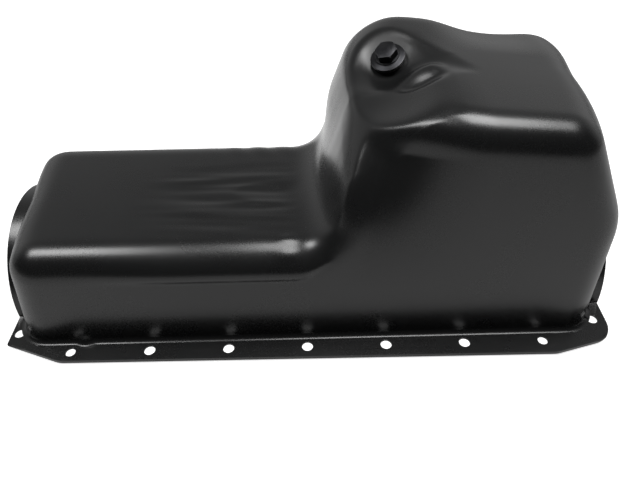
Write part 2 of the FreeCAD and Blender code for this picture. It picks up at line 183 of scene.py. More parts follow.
def make_orange_peel() -> NodeTree:
    """Slow waves and fine grain of sprayed paint, as a height.

    Returns:
        The group's tree.
    """
    sockets = {"Wave Scale": 40.0, "Grain Scale": 900.0, "Grain Share": 0.3}
    tree, start, end = effect_group("orange_peel", sockets, "Height")
    waves = add_node(tree, "ShaderNodeTexNoise", Detail=2.0, Roughness=0.45)
    grain = add_node(tree, "ShaderNodeTexNoise", Detail=1.0, Roughness=0.5)
    blend = add_node(tree, "ShaderNodeMix")
    wire(
        tree,
        (start, "Vector", waves, "Vector"),
        (start, "Vector", grain, "Vector"),
        (start, "Wave Scale", waves, "Scale"),
        (start, "Grain Scale", grain, "Scale"),
        (start, "Grain Share", blend, 0),
        (waves, 0, blend, VALUE_A),
        (grain, 0, blend, VALUE_B),
        (blend, 0, end, "Height"),
    )
    return tree


def make_blotches() -> NodeTree:
    """Cloudy changes and fine specks, as a mask from 0 to 1.

    Returns:
        The group's tree.
    """
    sockets = {"Cloud Scale": 14.0, "Speck Scale": 500.0, "Speck Share": 0.3}
    tree, start, end = effect_group("blotches", sockets, "Mask")
    clouds = add_node(tree, "ShaderNodeTexNoise", Detail=3.0, Roughness=0.55)
    specks = add_node(tree, "ShaderNodeTexNoise", Detail=0.0)
    sharp = add_ramp(tree, (0.66, 0.74))
    scaled = add_math(tree, "MULTIPLY")
    total = add_math(tree, "ADD", clamp=True)
    wire(
        tree,
        (start, "Vector", clouds, "Vector"),
        (start, "Vector", specks, "Vector"),
        (start, "Cloud Scale", clouds, "Scale"),
        (start, "Speck Scale", specks, "Scale"),
        (specks, 0, sharp, "Value"),
        (sharp, 0, scaled, 0),
        (start, "Speck Share", scaled, 1),
        (clouds, 0, total, 0),
        (scaled, 0, total, 1),
        (total, 0, end, "Mask"),
    )
    return tree


def make_pale_edges() -> NodeTree:
    """Paler convex edges, broken up by noise, as a mask from 0 to 1: wear on most finishes, and on
    the plug worn steel with a painted highlight along the hex edges.

    Returns:
        The group's tree.
    """
    sockets = {"Start": 0.53, "Break Scale": 260.0, "Amount": 1.0}
    tree, start, end = effect_group("pale_edge_mask", sockets, "Mask")
    shape = add_node(tree, "ShaderNodeNewGeometry")
    breaks = add_node(tree, "ShaderNodeTexNoise", Detail=2.0)
    rise = add_ramp(tree, (0.0, 0.62))
    product = add_math(tree, "MULTIPLY")
    amount = add_math(tree, "MULTIPLY", clamp=True)
    wire(
        tree,
        (start, "Vector", breaks, "Vector"),
        (start, "Break Scale", breaks, "Scale"),
        (shape, "Pointiness", rise, "Value"),
        (start, "Start", rise, "From Min"),
        (rise, 0, product, 0),
        (breaks, 0, product, 1),
        (product, 0, amount, 0),
        (start, "Amount", amount, 1),
        (amount, 0, end, "Mask"),
    )
    return tree


@dataclass(frozen=True)
class Effects:
    """The shared node groups."""

    peel: NodeTree
    blotches: NodeTree
    pale_edges: NodeTree


@dataclass(frozen=True)
class Finish:
    """One surface finish: its colours, gloss, patchiness, paler edges and relief; the edges show
    wear, and on the plug also a painted highlight.
    """

    name: str
    colour: Colour
    patch_colour: Colour
    edge_colour: Colour
    roughness: float
    patch_roughness: float
    metallic: float = 0.0
    ior: float = 1.5
    cloud_scale: float = 14.0
    speck_scale: float = 500.0
    speck_share: float = 0.3
    wave_scale: float = 40.0
    grain_scale: float = 900.0
    grain_share: float = 0.3
    relief: float = 0.00004
    pale_edges: float = 0.5

    def make(self, effects: Effects) -> Material:
        """Build the node material.

        Args:
            effects: the shared groups that the material places.

        Returns:
            The material.
        """
        material = bpy.data.materials.new(self.name)
        material.use_nodes = True
        tree = material.node_tree
        shader = tree.nodes["Principled BSDF"]
        place = add_node(tree, "ShaderNodeTexCoord")
        blotches = self.place(tree, effects.blotches, place, {
            "Cloud Scale": self.cloud_scale,
            "Speck Scale": self.speck_scale,
            "Speck Share": self.speck_share,
        })
        peel = self.place(tree, effects.peel, place, {
            "Wave Scale": self.wave_scale,
            "Grain Scale": self.grain_scale,
            "Grain Share": self.grain_share,
        })
        # Paler convex edges: wear, and on the plug also a painted highlight along the hex edges.
        pale_edges = self.place(tree, effects.pale_edges, place, {"Amount": self.pale_edges})
        tint = self.blend_colour(tree, self.colour, self.patch_colour, blotches.outputs[0])
        edged = self.blend_colour(tree, self.colour, self.edge_colour, pale_edges.outputs[0])
        gloss = add_ramp(tree, (0.0, 1.0), (self.roughness, self.patch_roughness))
        relief = add_node(tree, "ShaderNodeBump", Distance=self.relief, Strength=1.0)
        shader.inputs["Metallic"].default_value = self.metallic
        shader.inputs["IOR"].default_value = self.ior
        wire(
            tree,
            (tint, COLOUR_OUT, edged, COLOUR_A),
            (edged, COLOUR_OUT, shader, "Base Color"),
            (blotches, 0, gloss, "Value"),
            (gloss, 0, shader, "Roughness"),
            (peel, 0, relief, "Height"),
            (relief, 0, shader, "Normal"),
        )
        return material

    @staticmethod
    def place(tree: NodeTree, group: NodeTree, where: Node, values: dict[str, float]) -> Node:
        """Put a shared group into a material.

        Args:
            tree: the material's tree.
            group: the shared group.
            where: the texture coordinate node.
            values: the material's own values for the group.

        Returns:
            The group node.
        """
        node = tree.nodes.new("ShaderNodeGroup")
        node.node_tree = group
        tree.links.new(where.outputs["Object"], node.inputs["Vector"])
        for label, value in values.items():
            node.inputs[label].default_value = value
        return node

    @staticmethod
    def blend_colour(tree: NodeTree, first: Colour, second: Colour, mask: NodeSocket) -> Node:
        """Mix two colours by a mask.

        Args:
            tree: the material's tree.
            first: colour where the mask is 0.
            second: colour where the mask is 1.
            mask: the mask's socket.

        Returns:
            The mix node, with the colour at COLOUR_OUT.
        """
        node = tree.nodes.new("ShaderNodeMix")
        node.data_type = "RGBA"
        node.inputs[COLOUR_A].default_value = (*first, 1)
        node.inputs[COLOUR_B].default_value = (*second, 1)
        tree.links.new(mask, node.inputs[0])
        return node


BLACK_PAINT = Finish(
    name="black_paint",
    colour=(0.0045, 0.0046, 0.0048),
    patch_colour=(0.0075, 0.0077, 0.0078),
    edge_colour=(0.010, 0.010, 0.010),
    roughness=0.24,
    patch_roughness=0.31,
    ior=1.56,
    wave_scale=26.0,
    grain_scale=1200.0,
    grain_share=0.12,
    relief=0.000012,
    pale_edges=0.3,
)
PLUG_STEEL = Finish(
    name="blackened_steel",
    colour=(0.012, 0.0125, 0.014),
    patch_colour=(0.022, 0.022, 0.024),
    # Pale edges of the plug: partly worn bare steel, partly a painted highlight along the hex
    # edges.
    edge_colour=(0.45, 0.45, 0.46),
    roughness=0.30,
    patch_roughness=0.42,
    metallic=0.85,
    cloud_scale=120.0,
    grain_scale=2500.0,
    relief=0.00003,
    pale_edges=0.8,
)
WASHER_RUBBER = Finish(
    name="washer_rubber",
    colour=(0.010, 0.010, 0.010),
    patch_colour=(0.018, 0.018, 0.018),
    edge_colour=(0.03, 0.03, 0.03),
    roughness=0.5,
    patch_roughness=0.65,
    grain_scale=1800.0,
    relief=0.00003,
    pale_edges=0.3,
)
NUT_STEEL = Finish(
    name="nut_steel",
    colour=(0.16, 0.155, 0.15),
    patch_colour=(0.26, 0.25, 0.24),
    edge_colour=(0.5, 0.49, 0.47),
    roughness=0.35,
    patch_roughness=0.5,
    metallic=0.9,
    cloud_scale=150.0,
    grain_scale=2200.0,
    relief=0.00003,
    pale_edges=0.6,
)


def finish_piece(name: str, shape: BMesh, material: Material, crease: float = 35.0) -> Object:
    """Turn a bmesh into a shaded object with its place in its mesh.

    Args:
        name: the piece's name.
        shape: the mesh, which is freed.
        material: the piece's finish.
        crease: edges sharper than this angle in degrees stay crisp.

    Returns:
        The new object.
    """
    mesh = bpy.data.meshes.new(name)
    shape.to_mesh(mesh)
    shape.free()
    mesh.polygons.foreach_set("use_smooth", [True] * len(mesh.polygons))
    mesh.set_sharp_from_angle(angle=math.radians(crease))
    mesh.materials.append(material)
    item = bpy.data.objects.new(name, mesh)
    bpy.context.scene.collection.objects.link(item)
    return item


def weigh_normals(item: Object) -> None:
    """Let large flat faces set the shading next to small round ones."""
    modifier = item.modifiers.new("weighted", "WEIGHTED_NORMAL")
    modifier.mode = "FACE_AREA"
    modifier.keep_sharp = True
    graph = bpy.context.evaluated_depsgraph_get()
    mesh = bpy.data.meshes.new_from_object(item.evaluated_get(graph), depsgraph=graph)
    old = item.data
    item.modifiers.clear()
    item.data = mesh
    mesh.name = item.name
    bpy.data.meshes.remove(old)


def merged_copy(node: str) -> BMesh:
    """A welded copy of a frame node's mesh."""
    shape = bmesh.new()
    shape.from_mesh(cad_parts[node].data)
    bmesh.ops.remove_doubles(shape, verts=shape.verts, dist=WELD)
    bmesh.ops.recalc_face_normals(shape, faces=shape.faces)
    return shape


def smooth_region(seed: BMFace) -> set[BMFace]:
    """All faces reached from one without crossing a crisp edge."""
    found, queue = {seed}, [seed]
    while queue:
        for edge in queue.pop().edges:
            if len(edge.link_faces) != 2 or edge.calc_face_angle(0.0) > math.radians(CRISP):
                continue
            for face in edge.link_faces:
                if face not in found:
                    found.add(face)
                    queue.append(face)
    return found


def sheet_face(shape: BMesh, side: Side) -> set[BMFace]:
    """One smooth face of the solid's sheet, found by a ray through the tray.

    Args:
        shape: the welded copy of the solid.
        side: which face of the sheet.

    Returns:
        The faces on that side.
    """
    tree = BVHTree.FromBMesh(shape)
    shape.faces.ensure_lookup_table()
    hit = tree.ray_cast(Vector((-0.1, 0, side.value)), Vector((0, 0, -side.value)))
    return smooth_region(shape.faces[hit[2]])


def take_in(whole: BMesh, part: BMesh) -> None:
    """Add one mesh to another and free it."""
    spare = bpy.data.meshes.new("spare")
    part.to_mesh(spare)
    part.free()
    whole.from_mesh(spare)
    bpy.data.meshes.remove(spare)


def soften(net: BMesh, verts: list[BMVert], factor: float) -> None:
    """Move corners once towards the middle of their neighbours."""
    bmesh.ops.smooth_vert(
        net, verts=verts, factor=factor, use_axis_x=True, use_axis_y=True, use_axis_z=True
    )


def raised_verts(shape: BMesh, faces: list[BMFace]) -> list[BMVert]:
    """Extrude faces in place and return the new corners, ready to be moved."""
    grown = bmesh.ops.extrude_face_region(shape, geom=faces)["geom"]
    return [part for part in grown if isinstance(part, BMVert)]


def lathe(profile: Iterable[tuple[float, float]], segments: int, closed: bool = False) -> BMesh:
    """Spin a side profile once round Z.

    Args:
        profile: radius and height of each corner, in metres.
        segments: steps of the spin.
        closed: whether the last corner joins the first.

    Returns:
        The turned shape.
    """
    shape = bmesh.new()
    corners = [shape.verts.new((r, 0, z)) for r, z in profile]
    pairs = list(zip(corners, corners[1:]))
    if closed:
        pairs.append((corners[-1], corners[0]))
    edges = [shape.edges.new(pair) for pair in pairs]
    bmesh.ops.spin(
        shape,
        geom=corners + edges,
        axis=(0, 0, 1),
        cent=(0, 0, 0),
        angle=2 * math.pi,
        steps=segments,
        use_merge=True,
    )
    bmesh.ops.remove_doubles(shape, verts=shape.verts, dist=1e-7)
    bmesh.ops.recalc_face_normals(shape, faces=shape.faces)
    return shape


@dataclass
class PlugSeat:
    """Where the plug, its washer and the weld nut sit."""

    centre: Vector = field(default_factory=lambda: Vector((0.0693, 0.027, 0.190)))
    tilt: float = 27.0
    heading: float = 230.4

    @property
    def turn(self) -> Matrix:
        """Turns Z onto the plug axis."""
        about_z = Matrix.Rotation(math.radians(self.heading), 4, "Z")
        return about_z @ Matrix.Rotation(math.radians(self.tilt), 4, "Y")

    @property
    def matrix(self) -> Matrix:
        """Carries a piece made round Z onto the seat."""
        return Matrix.Translation(self.centre) @ self.turn

    @property
    def axis(self) -> Vector:
        """Direction of the plug axis, out of the pan."""
        return (self.turn @ Vector((0, 0, 1))).normalized()

    def off_axis(self, point: Vector) -> tuple[float, float]:
        """Distance of a point from the axis, and its height above the seat."""
        arm = point - self.centre
        height = arm.dot(self.axis)
        return (arm - height * self.axis).length, height


@dataclass
class Skin:
    """One face of the pressed sheet, laid over the frame's solid as a fine even net."""

    side: Side
    pitch: float
    seat: PlugSeat
    left: float = -0.262
    right: float = 0.262
    half: float = 0.104
    step_x: float = 0.012
    tray_top: float = 0.092
    sump_top: float = 0.205
    floor: float = 0.0004
    hole: float = 0.0067
    arch: float = 0.07475
    seam: float = 0.0095
    rounds: int = 20
    last_rounds: int = 4
    last_pull: float = 0.5

    def region(self) -> BMesh:
        """The frame solid's own smooth face on this side, with its plug hole closed.

        Returns:
            A mesh of that face, drawn down to the floor across the end arches.
        """
        shape = merged_copy("pan_shell")
        keep = sheet_face(shape, self.side)
        rest = [face for face in shape.faces if face not in keep]
        bmesh.ops.delete(shape, geom=rest, context="FACES")
        rim = [edge for edge in shape.edges if edge.is_boundary]
        plug_rim = [edge for edge in rim if self.near_plug(edge)]
        bmesh.ops.holes_fill(shape, edges=plug_rim, sides=0)
        foot = [edge for edge in rim if not self.near_plug(edge)]
        for part in bmesh.ops.extrude_edge_only(shape, edges=foot)["geom"]:
            if isinstance(part, BMVert):
                part.co.z = self.floor
        return shape

    def near_plug(self, edge: BMEdge) -> bool:
        """Whether an edge runs round the plug hole."""
        return all(self.seat.off_axis(vert.co)[0] < self.seam for vert in edge.verts)

    def cage(self) -> BMesh:
        """A stepped box round the pan, cut into even squares and open below.

        Returns:
            The cage mesh.
        """
        shape = bmesh.new()
        bmesh.ops.create_cube(shape, size=1.0)
        low = Vector((self.left, -self.half, self.floor))
        high = Vector((self.right, self.half, self.tray_top))
        bmesh.ops.scale(shape, vec=high - low, verts=shape.verts)
        bmesh.ops.translate(shape, vec=(low + high) / 2, verts=shape.verts)
        self.slice(shape, Vector((1, 0, 0)), [self.step_x])
        tops = [f for f in shape.faces if f.normal.z > 0.9]
        lid = [f for f in tops if f.calc_center_median().x > self.step_x]
        rise = Vector((0, 0, self.sump_top - self.tray_top))
        bmesh.ops.translate(shape, vec=rise, verts=raised_verts(shape, lid))
        bottom = [f for f in shape.faces if f.normal.z < -0.9]
        bmesh.ops.delete(shape, geom=list({*lid, *bottom}), context="FACES")
        lengths = steps(self.left, self.step_x, self.pitch)
        lengths += steps(self.step_x, self.right, self.pitch)
        heights = [*FOOT_ROWS, *steps(FOOT_ROWS[-1], self.tray_top, self.pitch), self.tray_top]
        heights += steps(self.tray_top, self.sump_top, self.pitch)
        self.slice(shape, Vector((1, 0, 0)), lengths)
        self.slice(shape, Vector((0, 1, 0)), steps(-self.half, self.half, self.pitch))
        self.slice(shape, Vector((0, 0, 1)), heights)
        return shape

    @staticmethod
    def slice(shape: BMesh, way: Vector, stations: Iterable[float]) -> None:
        """Cut a mesh across one axis.

        Args:
            shape: the mesh.
            way: the axis, as a unit vector.
            stations: where the cuts lie on that axis.
        """
        for station in stations:
            bmesh.ops.bisect_plane(
                shape,
                geom=shape.verts[:] + shape.edges[:] + shape.faces[:],
                dist=1e-7,
                plane_co=way * station,
                plane_no=way,
            )

    def drape(self) -> BMesh:
        """Lay the cage on the frame's solid and even out its squares.

        Returns:
            The draped net.
        """
        target = self.region()
        tree = BVHTree.FromBMesh(target)
        target.free()
        net = self.cage()
        rim = {vert for edge in net.edges if edge.is_boundary for vert in edge.verts}
        for vert in net.verts:
            vert.co = tree.find_nearest(vert.co)[0]
        loose = [v for v in net.verts if v not in rim and v.co.z > FOOT_TOP]
        for _ in range(self.rounds):
            soften(net, loose, PULL)
            for vert in loose:
                vert.co = tree.find_nearest(vert.co)[0]
        bmesh.ops.recalc_face_normals(net, faces=net.faces)
        for _ in range(self.last_rounds):
            soften(net, loose, self.last_pull)
        return net

    def by_plug(self, vert: BMVert, reach: float) -> bool:
        """Whether a corner lies on the seat, within a reach from the plug axis."""
        away, height = self.seat.off_axis(vert.co)
        depth = 0.01
        return away < reach and abs(height) < depth

    def open_plug_hole(self, net: BMesh) -> None:
        """Cut the round hole for the plug, with an even rim."""
        cleared, around = self.hole * 1.35, 0.02
        inside = {v for v in net.verts if self.by_plug(v, cleared)}
        doomed = [f for f in net.faces if any(v in inside for v in f.verts)]
        bmesh.ops.delete(net, geom=doomed, context="FACES")
        rim = [edge for edge in net.edges if edge.is_boundary]
        rim = [edge for edge in rim if all(self.by_plug(v, around) for v in edge.verts)]
        depth = 0.0 if self.side is Side.OUTER else -SHEET
        circle = bmesh.ops.create_circle(net, segments=48, radius=self.hole)["verts"]
        place = self.seat.matrix @ Matrix.Translation((0, 0, depth))
        bmesh.ops.transform(net, matrix=place, verts=circle)
        ring = list({edge for vert in circle for edge in vert.link_edges})
        bmesh.ops.bridge_loops(net, edges=rim + ring)

    def open_arches(self, net: BMesh) -> None:
        """Cut the crank openings out of both end walls."""
        sectors = 36
        for k in range(sectors + 1):
            angle = math.pi * k / sectors
            out = Vector((0, math.cos(angle), math.sin(angle)))
            near = [f for f in net.faces if self.in_sector(f, angle, math.pi / sectors)]
            edges = list({edge for face in near for edge in face.edges})
            verts = list({vert for face in near for vert in face.verts})
            bmesh.ops.bisect_plane(
                net, geom=verts + edges + near, dist=1e-6, plane_co=out * self.arch, plane_no=out
            )
        inside = [f for f in net.faces if self.arch_radius(f) < self.arch - 1e-5]
        inside += [f for f in net.faces if self.arch_foot(f) and f not in inside]
        bmesh.ops.delete(net, geom=inside, context="FACES")

    def in_sector(self, face: BMFace, angle: float, width: float) -> bool:
        """Whether an end wall face lies by the arch's edge at an angle."""
        middle, reach = face.calc_center_median(), 0.006
        beside = abs(math.atan2(middle.z, middle.y) - angle) < width * 0.75
        return beside and abs(self.arch_radius(face) - self.arch) < reach

    @staticmethod
    def arch_radius(face: BMFace) -> float:
        """Distance of an end wall face from the crank axis; far more for other faces."""
        middle, elsewhere = face.calc_center_median(), 1.0
        if abs(middle.x) < END_ZONE or abs(face.normal.x) < 0.5:
            return elsewhere
        return math.hypot(middle.y, middle.z)

    def arch_foot(self, face: BMFace) -> bool:
        """Whether a face lies in the lowest rows across an end arch."""
        middle = face.calc_center_median()
        lowest, edge = 0.006, 0.0005
        across = abs(middle.x) > END_ZONE and abs(middle.y) < self.arch - edge
        return across and middle.z < lowest

    def flare(self, net: BMesh, radius: float) -> None:
        """Round the foot of the wall into the rail.

        Args:
            net: the draped net.
            radius: the rounding, in metres.
        """
        for vert in net.verts:
            rise = vert.co.z - SHEET
            if rise >= radius:
                continue
            out = vert.normal.copy()
            out.z = 0
            if out.length < 0.3:
                continue
            drop = radius - max(rise, 0.0)
            vert.co += out.normalized() * (radius - math.sqrt(max(radius**2 - drop**2, 0.0)))


@dataclass(frozen=True)
class Bulge:
    """A far corner of the pressing that stands further out along X."""

    reach: float
    along_y: tuple[float, float]
    along_z: tuple[float, float]
    along_x: tuple[float, float]
    fades: bool = True

    def shift(self, p: Vector) -> Vector:
        """The shift at a point, which fades or grows along X."""
        where = smoothstep(*self.along_y, p.y) * smoothstep(*self.along_z, p.z)
        share = smoothstep(*self.along_x, p.x)
        return Vector((self.reach * where * (1 - share if self.fades else share), 0, 0))


TRAY_END = Bulge(-0.0125, (-0.02, 0.075), (0.02, 0.085), (-0.25, -0.17))
SUMP_FRONT = Bulge(-0.008, (-0.01, 0.07), (0.105, 0.15), (0.02, 0.11))
SUMP_END = Bulge(0.013, (0.0, 0.08), (0.10, 0.17), (0.15, 0.215), fades=False)


@dataclass
class PressedForms:
    """Small forms of the pressing that the solid leaves out, as shifts in metres."""

    seat: PlugSeat

    def shift(self, p: Vector) -> Vector:
        """The whole shift at a point of the plain pressing.

        Args:
            p: a point of the plain pressing.

        Returns:
            The shift of that point.
        """
        forms = (
            TRAY_END.shift, SUMP_FRONT.shift, SUMP_END.shift, self.far_edge, self.tail,
            self.corner_cut, self.easy_bank, self.ripples, self.side_crease, self.foot_fold,
        )
        total = Vector()
        for form in forms:
            total += form(p)
        return total

    @staticmethod
    def far_edge(p: Vector) -> Vector:
        """The far edge of the sump floor swells and then dips towards its end."""
        where = smoothstep(0.02, 0.085, p.y) * smoothstep(0.15, 0.18, p.z)
        swell, dip = 0.004, 0.0062
        rise = swell * bump(p.x, 0.09, 0.055) - dip * bump(p.x, 0.165, 0.06)
        return Vector((0, 0, rise * where))

    @staticmethod
    def tail(p: Vector) -> Vector:
        """The drain recess runs out into the sump floor as a drop shaped hollow."""
        start, tip, deepest = Vector((0.088, 0.018)), Vector((0.131, -0.014)), 0.0042
        way = tip - start
        along = (Vector((p.x, p.y)) - start).dot(way) / way.length_squared
        side = (p.x - start.x) * -way.y + (p.y - start.y) * way.x
        side /= way.length
        width = 0.006 + 0.030 * (1 - min(max(along, -0.2), 1.0))
        depth = deepest * smoothstep(1.08, 0.25, along) * smoothstep(-0.9, -0.1, along)
        centre = -0.012 * (1 - min(max(along, 0.0), 1.0))
        depth *= smoothstep(0.150, 0.182, p.z)
        return Vector((0, 0, -depth * bump(side, centre, width)))

    def corner_cut(self, p: Vector) -> Vector:
        """The corner in front of the drain plug leans back, more and more towards its top."""
        foot, height, lean = 0.055, 0.118, Vector((0.002, 0.027, -0.010))
        where = smoothstep(0.02, 0.05, p.x) * (1 - smoothstep(0.050, 0.130, p.x))
        where *= smoothstep(0.020, -0.082, p.y)
        where *= smoothstep(0.012, 0.030, self.seat.off_axis(p)[0])
        rise = min(max((p.z - foot) / height, 0.0), 1.0) ** 2
        return lean * where * rise

    @staticmethod
    def glints(p: Vector) -> Vector:
        """Two small slopes that face the light: right of the plug, and where tray meets sump."""
        slope, slope_y = 0.84, p.y + 0.009
        knock, knock_y = 26, p.y + 0.085
        by_slope = bump(math.hypot((p.x - 0.0905) / 0.024, slope_y / 0.019), 0.0, 1.0)
        by_knock = bump(math.hypot((p.x + 0.0155) / 0.014, knock_y / 0.013), 0.0, 1.0)
        rise = slope * slope_y * by_slope * smoothstep(0.150, 0.182, p.z)
        rise += knock * knock_y**2 * by_knock * smoothstep(0.06, 0.07, p.z)
        return Vector((0, 0, rise))

    def easy_bank(self, p: Vector) -> Vector:
        """The bank behind the plug rises gently first and then over a short ridge."""
        away, height = self.seat.off_axis(p)
        reach, lowest = 0.06, 0.17
        if height <= 0 or away > reach or p.z < lowest:
            return Vector()
        arm = p - self.seat.centre
        uphill = smoothstep(-0.012, 0.006, arm.x * 0.64 + arm.y * 0.77)
        strongest = 0.7
        share = strongest * (1 - smoothstep(0.016, 0.056, away)) * uphill
        return self.seat.axis * (-height * share)

    @staticmethod
    def ripples(p: Vector) -> Vector:
        """Drawing ripples on the tray floor that fan out towards the sump."""
        if p.z < 0.075 or p.x > 0.02:
            return Vector()
        ripple, scallop, scallop_pitch = 0.0018, 0.0005, 0.024
        reach = smoothstep(-0.155, -0.07, p.x) * (1 - smoothstep(-0.03, 0.0, p.x))
        fan = p.y * (1 - 1.2 * (p.x + 0.03))
        band = bump(p.y, -0.025, 0.060)
        streak = -1.6 * abs(noise.noise(Vector((p.x * 8, fan * 62, 0.7))))
        streak += 0.6 * noise.noise(Vector((p.x * 14 + 5, fan * 130, 2.1)))
        far = bump(p.x, -0.045, 0.055) * smoothstep(0.03, 0.07, p.y)
        wave = math.sin((p.x + 0.5 * p.y) * 2 * math.pi / scallop_pitch)
        return Vector((0, 0, ripple * reach * band * streak + scallop * far * wave))

    @staticmethod
    def foot_fold(p: Vector) -> Vector:
        """A small fold in the foot of the near wall, close to the tray's end."""
        depth, place, half_width = 0.0022, -0.1925, 0.009
        low = (1 - smoothstep(0.004, 0.011, p.z)) * smoothstep(-0.090, -0.095, p.y)
        return Vector((0, -depth * bump(p.x, place, half_width) * low, 0))

    @staticmethod
    def side_crease(p: Vector) -> Vector:
        """A crisp crease below the near rounding of the tray."""
        if p.y > -0.08 or p.x > 0.02:
            return Vector()
        depth, half_width = 0.0021, 0.0035
        line = 0.0685 + 0.02 * smoothstep(-0.01, 0.03, p.x)
        step = smoothstep(line - half_width, line + half_width, p.z)
        reach = smoothstep(-0.2, -0.1, p.x)
        return Vector((0, -depth * step * reach * (1 - smoothstep(0.075, 0.09, p.z)), 0))


@dataclass
class PanShell:
    """The pressed pan: two fine skins, the rail with its lip, and the end arches."""

    seat: PlugSeat
    outer_pitch: float = 0.0026
    inner_pitch: float = 0.0040
    foot_round: float = 0.0050

    def skin(self, side: Side) -> BMesh:
        """Make one skin, with its openings and small forms.

        Args:
            side: which face of the sheet.

        Returns:
            The skin's mesh.
        """
        if side is Side.OUTER:
            skin = Skin(side, self.outer_pitch, self.seat)
        else:
            skin = Skin(
                side, self.inner_pitch, self.seat, left=-0.26, right=0.26, half=0.1025,
                tray_top=0.0905, sump_top=0.2035, floor=0.0,
            )
        net = skin.drape()
        forms = PressedForms(self.seat)
        for vert in net.verts:
            vert.co += forms.shift(vert.co)
        self.iron(net, 8 if side is Side.OUTER else 4)
        for vert in net.verts:
            vert.co += forms.glints(vert.co)
        net.normal_update()
        if side is Side.OUTER:
            self.face_out(net, skin)
            skin.flare(net, self.foot_round)
        skin.open_arches(net)
        skin.open_plug_hole(net)
        bmesh.ops.recalc_face_normals(net, faces=net.faces)
        self.face_out(net, skin)
        log.info("%s skin: %d faces", side.name.lower(), len(net.faces))
        return net

    @staticmethod
    def face_out(net: BMesh, skin: Skin) -> None:
        """Turn a skin's faces away from the sheet."""
        top = max(net.faces, key=lambda face: face.calc_center_median().z)
        up = top.normal.z > 0
        if up != (skin.side is Side.OUTER):
            bmesh.ops.reverse_faces(net, faces=net.faces)
        net.normal_update()

    @staticmethod
    def iron(net: BMesh, passes: int) -> None:
        """Blend the forms between the drain hollow and the near edge into each other.

        Args:
            net: one skin.
            passes: how often it is smoothed.
        """
        soft = [
            v for v in net.verts
            if 0.074 < v.co.x < 0.118 and -0.045 < v.co.y < 0.014 and v.co.z > 0.165
        ]
        corner = [
            v for v in net.verts
            if 0.030 < v.co.x < 0.112 and -0.072 < v.co.y < -0.012 and v.co.z > 0.11
        ]
        for verts, share in ((soft, 1), (corner, 4)):
            for _ in range(passes * share):
                soften(net, verts, PULL)

    def frame_rest(self) -> BMesh:
        """The rail, lip, arches and hole walls, carried over from the frame.

        Returns:
            The welded copy without its two skins.
        """
        shape = merged_copy("pan_shell")
        skins = sheet_face(shape, Side.OUTER) | sheet_face(shape, Side.INNER)
        bmesh.ops.delete(shape, geom=list(skins), context="FACES")
        return shape

    def build(self, material: Material) -> Object:
        """Build the piece and put it in place of the frame's node.

        Args:
            material: the paint.

        Returns:
            The finished piece.
        """
        whole = self.frame_rest()
        for side in Side:
            take_in(whole, self.skin(side))
        piece = finish_piece("pressed_pan", whole, material, crease=32.0)
        weigh_normals(piece)
        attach(piece, "pan")
        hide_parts("pan_shell")
        return piece


